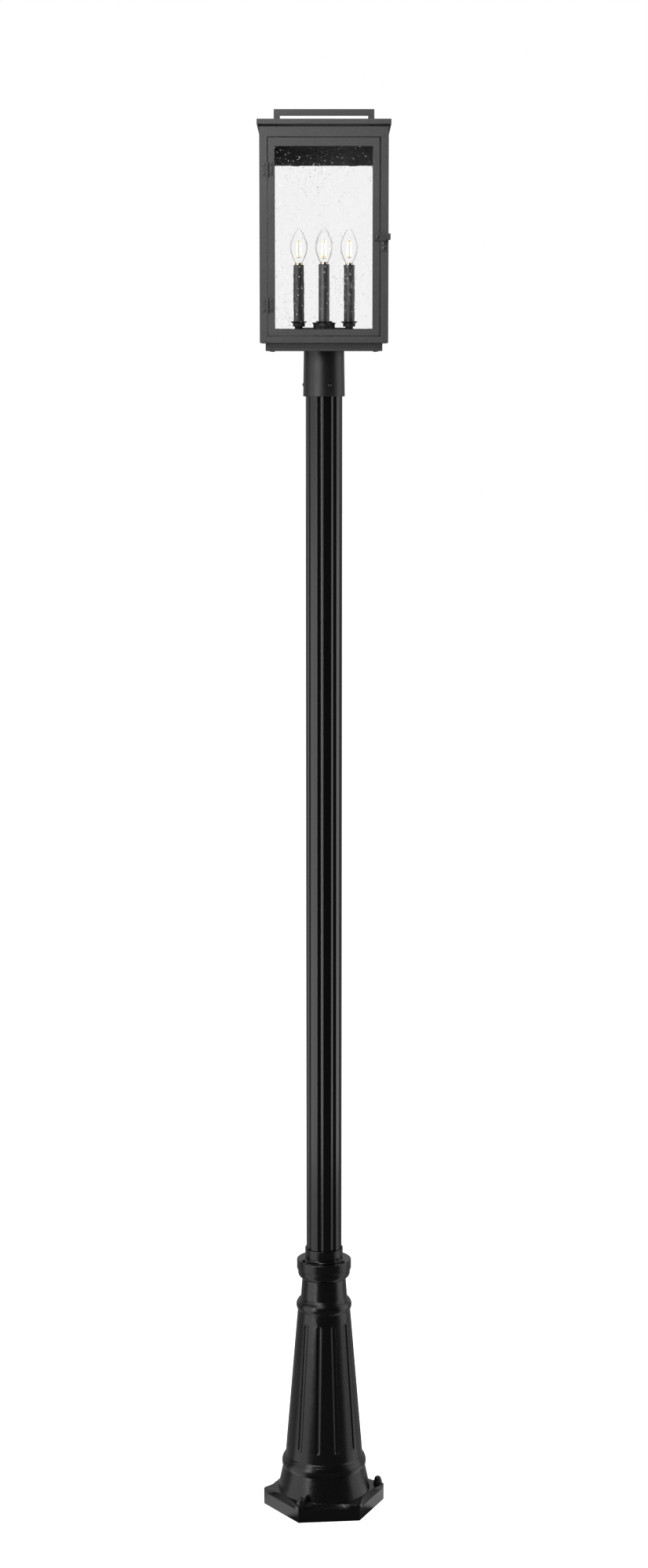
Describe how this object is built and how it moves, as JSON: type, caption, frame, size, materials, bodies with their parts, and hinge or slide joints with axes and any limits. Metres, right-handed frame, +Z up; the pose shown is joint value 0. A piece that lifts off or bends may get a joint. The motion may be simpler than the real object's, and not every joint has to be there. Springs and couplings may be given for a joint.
{
  "type": "post lantern",
  "caption": "Square glazed lantern with a hinged, latched door and a candle-lamp cluster, carried on a fluted post with a hexagonal cast anchor base, for lighting paths and drives.",
  "frame": {"origin": "on the ground at the centre of the anchor bolt circle, on the axis of the post", "axes": "+Z up along the post; the lantern door faces -Y with its hinges on the -X side and its latch on the +X side"},
  "size_m": [0.27, 0.2737, 2.993],
  "materials": {
    "post_black": "satin black powder coat",
    "fitter_black": "satin black powder coat",
    "lantern_grey": "fine-textured dark grey powder coat",
    "hardware_grey": "dark grey powder coat",
    "hardware_screws": "blackened",
    "black_hardware": "black, semi-gloss",
    "seeded_glass": "clear with seeds and drawn streaks",
    "brass": "plain",
    "cluster_black": "satin black",
    "sleeve_black": "matte",
    "socket_cream": "moulded",
    "bulb_metal": "nickel plated",
    "bulb_glass": "clear",
    "filament_glow": "coated, lit"
  },
  "bodies": {
    "lantern_and_post": {"anchor_nuts": "black_hardware", "anchor_washers": "black_hardware", "base_casting": "post_black", "base_pan": "lantern_grey", "bulb_bases": "bulb_metal", "bulb_filaments": "filament_glow", "bulb_glass": "bulb_glass", "bulb_stems": "bulb_glass", "candle_cups": "cluster_black", "candle_sleeves": "sleeve_black", "candle_sockets": "socket_cream", "centre_nipple": "brass", "cluster_arms": "cluster_black", "cluster_hub": "cluster_black", "collar_bolts": "black_hardware", "corner_post_front_left": "lantern_grey", "corner_post_front_right": "lantern_grey", "corner_post_rear_left": "lantern_grey", "corner_post_rear_right": "lantern_grey", "filament_frames": "bulb_metal", "fitter_set_screws": "black_hardware", "floor_plate": "lantern_grey", "front_header": "lantern_grey", "front_sill": "lantern_grey", "glass_clips": "black_hardware", "handle": "lantern_grey", "handle_screws": "hardware_screws", "hinge_fixed_leaves": "hardware_grey", "hinge_frame_screws": "hardware_screws", "hinge_pins": "hardware_screws", "hub_cap": "cluster_black", "latch_keeper": "hardware_grey", "latch_keeper_screws": "hardware_screws", "left_bottom_rail": "lantern_grey", "left_cornice": "lantern_grey", "left_glass": "seeded_glass", "left_top_rail": "lantern_grey", "nipple_nuts": "brass", "pan_screws": "hardware_screws", "post_collar": "post_black", "post_fitter": "fitter_black", "post_tube": "post_black", "rear_bottom_rail": "lantern_grey", "rear_glass": "seeded_glass", "rear_header": "lantern_grey", "rear_top_rail": "lantern_grey", "right_bottom_rail": "lantern_grey", "right_cornice": "lantern_grey", "right_glass": "seeded_glass", "right_top_rail": "lantern_grey", "roof_plate": "lantern_grey", "socket_stems": "cluster_black"},
    "door": {"door_frame": "lantern_grey", "door_glass": "seeded_glass", "door_glass_retainer": "black_hardware", "hinge_door_leaves": "hardware_grey", "hinge_door_screws": "hardware_screws", "latch_pivot_screw": "hardware_screws"},
    "latch": {"latch_bar": "hardware_grey"}
  },
  "joints": [
    {"name": "door_hinge", "type": "hinge", "parent": "lantern_and_post", "child": "door", "pos_m": [-0.11365, -0.1323, 2.73], "axis": [0, 0, -1], "range_deg": [0, 150]},
    {"name": "latch_pivot", "type": "hinge", "parent": "door", "child": "latch", "pos_m": [0.1075, -0.132, 2.7313], "axis": [0, -1, 0], "range_deg": [0, 90]}
  ]
}
